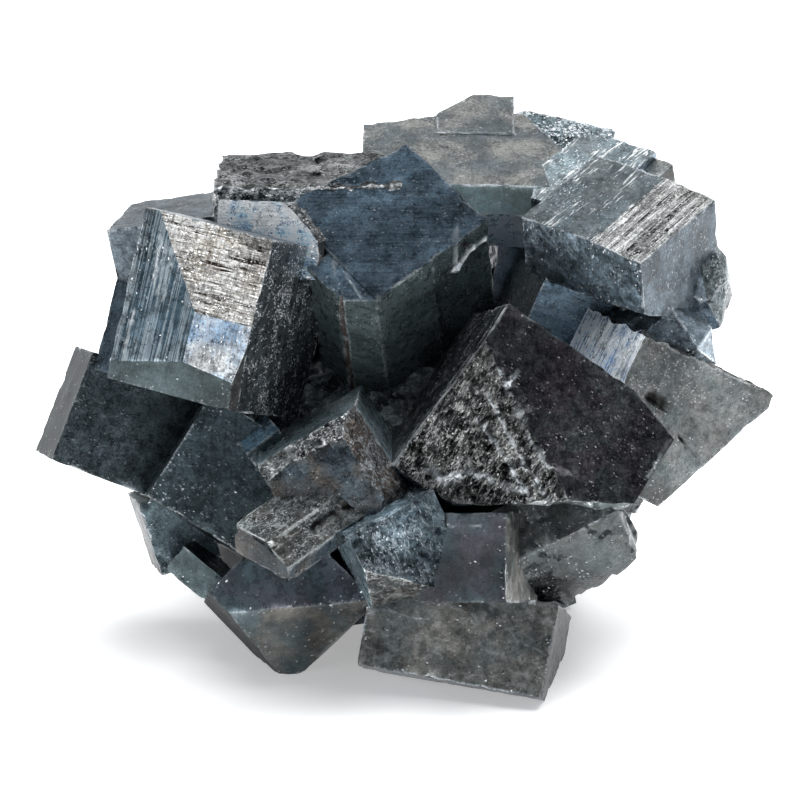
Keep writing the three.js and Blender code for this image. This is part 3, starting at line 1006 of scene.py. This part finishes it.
def standing_edges(points, triangles, owners):
    """Points on the edges where two faces stand out, the way out there, and a face beside."""
    normals = triangle_normals(points, triangles)
    ends, sides = shared_edges(triangles)
    one, two = normals[sides[:, 0]], normals[sides[:, 1]]
    level = (one * points[ends[:, 0]]).sum(axis=1)
    inward = points[triangles[sides[:, 1]]].mean(axis=1)
    falls = (inward * one).sum(axis=1) < level - 1e-6
    folds = (one * two).sum(axis=1) < math.cos(math.radians(EDGE_DEGREES))
    spread = np.linalg.norm(one + two, axis=1)
    not_a_fin = spread > LEAST_SPREAD
    kept = falls & folds & not_a_fin & (owners[sides[:, 0]] != owners[sides[:, 1]])
    outward = (one[kept] + two[kept]) / spread[kept, None]
    return ends[kept, 0], outward, owners[sides[kept, 0]]


def tree_of(points):
    """A quick way to find the points that are near a place."""
    tree = kdtree.KDTree(len(points))
    for i, point in enumerate(points):
        tree.insert(point, i)
    tree.balance()
    return tree


def chip_edges(faces, points, edges, outward, beside):
    """Strikes small flat chips off the standing edges."""
    tree = tree_of(points)
    start = points.copy()
    for pick in rng.permutation(len(edges))[: int(CHIP_SHARE * len(edges))]:
        edge = start[edges[pick]]
        deepest = LOOKS[faces[beside[pick]].look].chip
        depth = CHIP_DEPTH * deepest * rng.uniform(0.3, 1.0) ** 4
        way = unit(outward[pick] + rng.normal(0, CHIP_LEAN, 3))
        reach = CHIP_REACH * rng.uniform(0.6, 1.4)
        near = np.array([found[1] for found in tree.find_range(edge, reach)])
        above = (points[near] - edge + depth * outward[pick]) @ way
        fade = 1 - (np.linalg.norm(start[near] - edge, axis=1) / reach) ** 4
        points[near] -= (np.clip(above, 0, 2 * deepest) * fade)[:, None] * way
    return points


# ---- The piece ----
def build_mesh(name, faces, points, triangles, owners, gaps):
    """The Blender mesh, with its materials and what they read from each place."""
    mesh = bpy.data.meshes.new(name)
    mesh.from_pydata((points * MM).tolist(), [], triangles.tolist())
    for look_name, look in LOOKS.items():
        mesh.materials.append(Stone(look_name, look).owner)
    slots = np.array([list(LOOKS).index(faces[owner].look) for owner in owners], np.int32)
    mesh.polygons.foreach_set("material_index", slots)
    mesh.polygons.foreach_set("use_smooth", np.ones(len(triangles), bool))
    spread = np.zeros((len(triangles), 3, 2))
    tone, glitter, scar = np.zeros((3, len(triangles), 3))
    for face in faces:
        mine = owners == face.number
        corners = points[triangles[mine]]
        flat = face.flatten(corners)
        own_place = (17 * face.number % 101, 17 * face.number % 73)
        spread[mine] = flat + own_place
        # Each face's lightness and soft patches, partly painted light and shade, and its painted
        # glints
        light, glints = face.painted_lightness(corners.reshape(-1, 3))
        tone[mine], glitter[mine] = light.reshape(-1, 3), glints.reshape(-1, 3)
        # Each scar's painted highlight, above 0, and painted shade, below 0
        for path, width, _, shade in face.scars:
            scar[mine] += shade * scar_shape(flat.reshape(-1, 2), path, width).reshape(-1, 3)
    mesh.uv_layers.new(name="face").data.foreach_set("uv", spread.astype(np.float32).reshape(-1))
    mark_sharp_edges(mesh, points, triangles)
    for attribute, domain, values in (
        ("tone", "CORNER", tone),
        ("glitter", "CORNER", glitter),
        ("scar", "CORNER", scar),
        ("rim", "POINT", np.clip(1 - gaps / RIM_WIDTH, 0, 1)),
    ):
        layer = mesh.attributes.new(attribute, "FLOAT", domain)
        layer.data.foreach_set("value", values.astype(np.float32).reshape(-1))
    mesh.update()
    return mesh


def mark_sharp_edges(mesh, points, triangles):
    normals = triangle_normals(points, triangles)
    ends, sides = shared_edges(triangles)
    bend = (normals[sides[:, 0]] * normals[sides[:, 1]]).sum(axis=1)
    sharp = set(map(tuple, ends[bend < math.cos(math.radians(SHARP_DEGREES))].tolist()))
    for edge in mesh.edges:
        edge.use_edge_sharp = tuple(sorted(edge.vertices)) in sharp


# ---- Materials ----
class Nodes:
    """Short ways to add the nodes of a material or a world."""

    def __init__(self, owner):
        self.owner = owner
        owner.use_nodes = True
        self.tree = owner.node_tree
        self.tree.nodes.clear()

    def add(self, kind, inputs=None, **settings):
        made = self.tree.nodes.new("ShaderNode" + kind)
        for name, value in settings.items():
            setattr(made, name, value)
        for key, value in (inputs or {}).items():
            self.feed(made.inputs[key], value)
        return made

    def feed(self, socket, value):
        """Links the socket to another node's socket, or gives it a value."""
        if isinstance(value, bpy.types.NodeSocket):
            self.tree.links.new(value, socket)
        else:
            socket.default_value = value

    def math(self, operation, a, b=0.0):
        return self.add("Math", {0: a, 1: b}, operation=operation).outputs[0]

    def plus(self, a, b):
        return self.math("ADD", a, b)

    def times(self, a, b):
        return self.math("MULTIPLY", a, b)

    def ramp(self, value, low, high, first=0.0, last=1.0):
        inputs = {"Value": value, "From Min": low, "From Max": high}
        inputs |= {"To Min": first, "To Max": last}
        return self.add("MapRange", inputs).outputs[0]

    def blend(self, share, a, b):
        made = self.add("Mix", {"Factor": share}, data_type="RGBA")
        for socket, colour in ((made.inputs[6], a), (made.inputs[7], b)):
            self.feed(socket, (*colour, 1) if isinstance(colour, tuple) else colour)
        return made.outputs[2]

    def vector(self, operation, a, b=(0, 0, 0)):
        return self.add("VectorMath", {0: a, 1: b}, operation=operation).outputs[0]

    def stretch(self, vector, x, y):
        return self.vector("MULTIPLY", vector, (x, y, 1))

    def scaled(self, vector, factor):
        return self.add("VectorMath", {0: vector, "Scale": factor}, operation="SCALE").outputs[0]

    def tilted(self, vector, facets, slope):
        """The vector leant by each facet's own random colour."""
        lean = self.scaled(self.vector("SUBTRACT", facets, (0.5, 0.5, 0.5)), slope)
        return self.vector("ADD", vector, lean)

    def noise(self, vector, scale, detail=3.0, roughness=0.6):
        inputs = {"Vector": vector, "Scale": scale, "Detail": detail, "Roughness": roughness}
        return self.add("TexNoise", inputs).outputs["Fac"]

    def cells(self, vector, **settings):
        return self.add("TexVoronoi", {"Vector": vector, "Scale": 1.0}, **settings).outputs

    def attribute(self, name):
        return self.add("Attribute", attribute_name=name).outputs["Fac"]


class Stone(Nodes):
    """Magnetite: a metallic stone with growth lines, glints, dark specks and worn edges."""

    def __init__(self, name, look):
        super().__init__(bpy.data.materials.new(name))
        self.look = look
        self.flat = self.add("UVMap", uv_map="face").outputs[0]
        place = self.add("TexCoord").outputs["Object"]
        self.place = self.vector("MULTIPLY", place, (1 / MM, 1 / MM, 1 / MM))
        self.patches = self.noise(self.place, PATCHES, 4.0)
        self.mottle = self.noise(self.place, MOTTLE, 4.0, 0.7)
        self.grain = self.noise(self.place, GRAIN, 4.0, 0.75)
        self.lines = self.growth_lines(look.stretch, 1.0)
        self.cross = self.growth_lines(1.0, look.stretch)
        self.strands = self.strand_net() if look.strands else 0.0
        self.facets, self.painted_glints = self.glints()
        self.dust = self.film()
        rough = self.ramp(self.mottle, 0.35, 0.65, *look.rough)
        inputs = {
            "Base Color": self.colour(),
            "Metallic": self.ramp(self.dust, 0.0, 1.0, look.metal, 0.0),
            "Roughness": self.plus(rough, self.times(self.dust, 0.3)),
            "Normal": self.normal(),
        }
        shader = self.add("BsdfPrincipled", inputs)
        self.add("OutputMaterial", {"Surface": shader.outputs[0]})

    def growth_lines(self, along, across):
        """Thin scratches and broader lines, from 0 to 1. `along` and `across` stretch the face."""
        width = self.look.line_width
        fine, broad, bent = (
            self.noise(self.stretch(self.flat, a * along / width, b * across / width), 1.0, 2.0)
            for a, b in ((1.0, 1.0), (0.25, 0.2), (0.3, 0.3))
        )
        level = 1.1 - 0.25 * self.look.cover
        lines = self.ramp(self.plus(fine, broad), level, level + 0.07)
        off = self.math("ABSOLUTE", self.math("SUBTRACT", bent, 0.5))
        return self.math("MAXIMUM", lines, self.ramp(off, 0.0, 0.1, self.look.scratch, 0.0))

    def strand_net(self):
        """Bright strands that net a broken face, here and there, from 0 to 1."""
        size = self.look.strand_size
        spread = self.stretch(self.flat, STRAND_SHAPE / size, 1 / size)
        winding = self.add("TexNoise", {"Vector": spread, "Scale": 1.2}).outputs["Color"]
        winding = self.tilted(spread, winding, 1.6)
        edge = self.cells(winding, feature="DISTANCE_TO_EDGE")["Distance"]
        strands = self.ramp(edge, 0.01, 0.07, self.look.strands, 0.0)
        return self.times(strands, self.ramp(self.mottle, 0.42, 0.55))

    def glints(self):
        """The micro facets: their own random colours, and how brightly each is painted as a glint.
        """
        spread = self.stretch(self.flat, GLINT_SHAPE / GLINT_SIZE, 1 / GLINT_SIZE)
        facets = self.cells(spread)["Color"]
        chance = self.add("SeparateColor", {0: facets}).outputs[0]
        swarms = self.noise(self.place, SWARMS, 3.0)
        share = self.ramp(swarms, 0.45, 0.65, 0.2 * self.look.glint, 3 * self.look.glint)
        # More painted glints at the soft patches and along the rubbed edges.
        at_rim = self.ramp(self.attribute("rim"), 0.2, 1.0, 0.0, EDGE_PAINTED_GLINTS)
        more = self.plus(self.attribute("glitter"), at_rim)
        share = self.plus(share, self.times(self.ramp(swarms, 0.4, 0.6), more))
        return facets, self.ramp(chance, self.math("SUBTRACT", 1.0, share), 1.0)

    def film(self):
        """How thick the pale dust lies, from 0 to 1."""
        level = 1.15 - 0.4 * self.look.dust
        film = self.ramp(self.plus(self.patches, self.grain), level, level + 0.2)
        return self.times(film, self.look.dust)

    def unevenness(self):
        """How much lighter or darker than its mean colour each place is."""
        look = self.look
        bands = self.noise(self.stretch(self.flat, 0.1, 0.8), 1.0)
        clouds = self.noise(self.place, CLOUDS)
        patterns = (self.mottle, self.grain, bands, clouds)
        shade = 1.0
        for pattern, share in zip(patterns, (look.mottle, look.grainy, look.banded, look.cloud)):
            shade = self.times(shade, self.ramp(pattern, 0.35, 0.65, 1 - share, 1 + share))
        return shade

    def wear_and_edge_highlight(self):
        """How far the edges are rubbed bright and given a painted highlight, from 0 to 1. It comes
        and goes along an edge.
        """
        most = self.look.edge_wear_and_highlight
        edge = self.ramp(self.attribute("rim"), 0.75, 0.97)
        stretches = self.ramp(self.noise(self.place, WEAR_AND_HIGHLIGHT, 2.0), 0.4, 0.6, 0.2 * most, most)
        return self.times(self.times(edge, self.ramp(self.grain, 0.38, 0.52)), stretches)

    def colour(self):
        """The colour, layer over layer."""
        look = self.look
        colour = self.blend(self.ramp(self.patches, 0.4, 0.6), look.colour, look.tint)
        colour = self.scaled(colour, self.unevenness())
        showing = self.ramp(self.mottle, 0.35, 0.55, 0.3, 1.0)
        for pattern, share in ((self.lines, look.lines), (self.cross, look.cross)):
            if share:
                strength = self.times(pattern, self.times(showing, share))
                colour = self.blend(strength, colour, look.line)
        # Small pits painted dark as shade; the mesh has no hollow there.
        pitted = 0.2 + 0.4 * look.pits
        solid = self.ramp(self.noise(self.place, HOLLOWS, 2.0), pitted, pitted + 0.06)
        colour = self.blend(solid, tuple(HOLLOW_SHADE * c for c in look.colour), colour)
        scar = self.attribute("scar")
        for share, over in (
            # painted glints
            (self.painted_glints, look.bright),
            (self.strands, look.bright),
            (self.dust, DUST),
            # the rubbed edges, partly a painted edge highlight
            (self.wear_and_edge_highlight(), look.bright),
            # painted highlights on raised scars, painted shade in cut-in scars
            (self.ramp(scar, 0.0, 0.5), SCAR_HIGHLIGHT),
            (self.ramp(scar, 0.0, -0.5), SCAR_SHADE),
        ):
            colour = self.blend(share, colour, over)
        # The lightness scales the colour: partly tarnish, partly painted light and shade.
        return self.scaled(colour, self.attribute("tone"))

    def normal(self):
        """The normal, from the lines, grain and strands as a bump, and from the facets."""
        look = self.look
        deep = LINE_DEPTH * look.line_width
        lines = self.times(self.lines, deep * look.lines)
        height = self.plus(lines, self.times(self.cross, deep * look.cross))
        height = self.plus(height, self.times(self.grain, 0.02 + 0.06 * look.facet))
        height = self.plus(height, self.times(self.strands, STRAND_HEIGHT))
        bump = self.add("Bump", {"Height": height, "Distance": MM, "Strength": 1.0}).outputs[0]
        slope = self.ramp(self.painted_glints, 0.0, 1.0, look.facet, look.facet + 0.8)
        normal = self.tilted(bump, self.facets, slope)
        if look.shard:
            spread = self.stretch(self.flat, look.splinter / look.shard, 1 / look.shard)
            normal = self.tilted(normal, self.cells(spread)["Color"], look.shard_slope)
        return self.vector("NORMALIZE", normal)


# ---- Stage ----
def make_floor():
    bpy.ops.mesh.primitive_plane_add(size=6)
    floor = bpy.context.object
    floor.name = "floor"
    nodes = Nodes(bpy.data.materials.new("floor"))
    inputs = {
        "Base Color": (0.9, 0.9, 0.9, 1),
        "Roughness": 0.9,
        "Emission Color": (1, 1, 1, 1),
        "Emission Strength": FLOOR_GLOW,
    }
    shader = nodes.add("BsdfPrincipled", inputs)
    nodes.add("OutputMaterial", {"Surface": shader.outputs[0]})
    floor.data.materials.append(nodes.owner)


def softbox(name, around, up, distance, size, glow):
    """A square soft light. `around` counts from behind the cluster to its right."""
    around, up = math.radians(around), math.radians(up)
    way = Vector((math.sin(around) * math.cos(up), math.cos(around) * math.cos(up), math.sin(up)))
    light = bpy.data.lights.new(name, "AREA")
    light.size = size
    light.energy = glow * math.pi * size**2
    lamp = bpy.data.objects.new(name, light)
    lamp.location = Vector(LAYOUT_ORIGIN * MM) + way * distance
    lamp.rotation_euler = way.to_track_quat("Z", "Y").to_euler()
    bpy.context.scene.collection.objects.link(lamp)
    return lamp


def make_world():
    """A studio that is bright behind the cluster and dark on the near side."""
    world = bpy.data.worlds.new("studio")
    nodes = Nodes(world)
    place = nodes.add("TexCoord").outputs["Generated"]
    backward = nodes.add("SeparateXYZ", {0: place}).outputs["Y"]
    light = nodes.add("ValToRGB", {0: nodes.ramp(backward, -1.0, 1.0)})
    near, far = light.color_ramp.elements
    near.position, near.color = 0.36, (0.14, 0.155, 0.17, 1)
    far.position, far.color = 0.72, (0.95, 0.98, 1.0, 1)
    light.color_ramp.elements.new(0.5).color = (0.2, 0.24, 0.28, 1)
    background = nodes.add("Background", {0: light.outputs[0]})
    nodes.add("OutputWorld", {"Surface": background.outputs[0]})
    bpy.context.scene.world = world


def light_stage():
    make_world()
    softbox("front_left", around=-137, up=21, distance=0.5, size=0.2, glow=1.6)
    key = softbox("key", around=38, up=58, distance=0.9, size=0.7, glow=3.7)
    overhead = softbox("overhead", around=5, up=75, distance=1.1, size=1.2, glow=5.5)
    for lamp in (key, overhead):
        lamp.visible_glossy = False
    bpy.context.scene.view_settings.view_transform = "Standard"


def make_camera():
    """Looks from the front, as far down as the cluster leans."""
    up = math.radians(LEAN_DEGREES)
    camera = bpy.data.cameras.new("camera")
    camera.sensor_width = SENSOR_WIDTH
    camera.lens = SENSOR_WIDTH * CAMERA_DISTANCE / VIEW_WIDTH
    view = bpy.data.objects.new("camera", camera)
    back = Vector((0, -math.cos(up), math.sin(up)))
    view.location = Vector(LAYOUT_ORIGIN * MM) + back * CAMERA_DISTANCE
    view.rotation_euler = (-back).to_track_quat("-Z", "Y").to_euler()
    bpy.context.scene.collection.objects.link(view)
    bpy.context.scene.camera = view


def make_cluster():
    faces, points, triangles, owners = cut_finely(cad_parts[NODE])
    edges, outward, beside = standing_edges(points, triangles, owners)
    edge_tree = tree_of(points[edges])
    gaps = np.array([edge_tree.find(point)[2] for point in points])
    points = shape_surface(faces, points, triangles, owners, gaps)
    points = chip_edges(faces, points, edges, outward, beside)
    mesh = build_mesh("magnetite", faces, points, triangles, owners, gaps)
    piece = bpy.data.objects.new("magnetite", mesh)
    bpy.context.scene.collection.objects.link(piece)
    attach(piece, "root")
    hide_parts(NODE)


make_camera()
make_cluster()
make_floor()
light_stage()
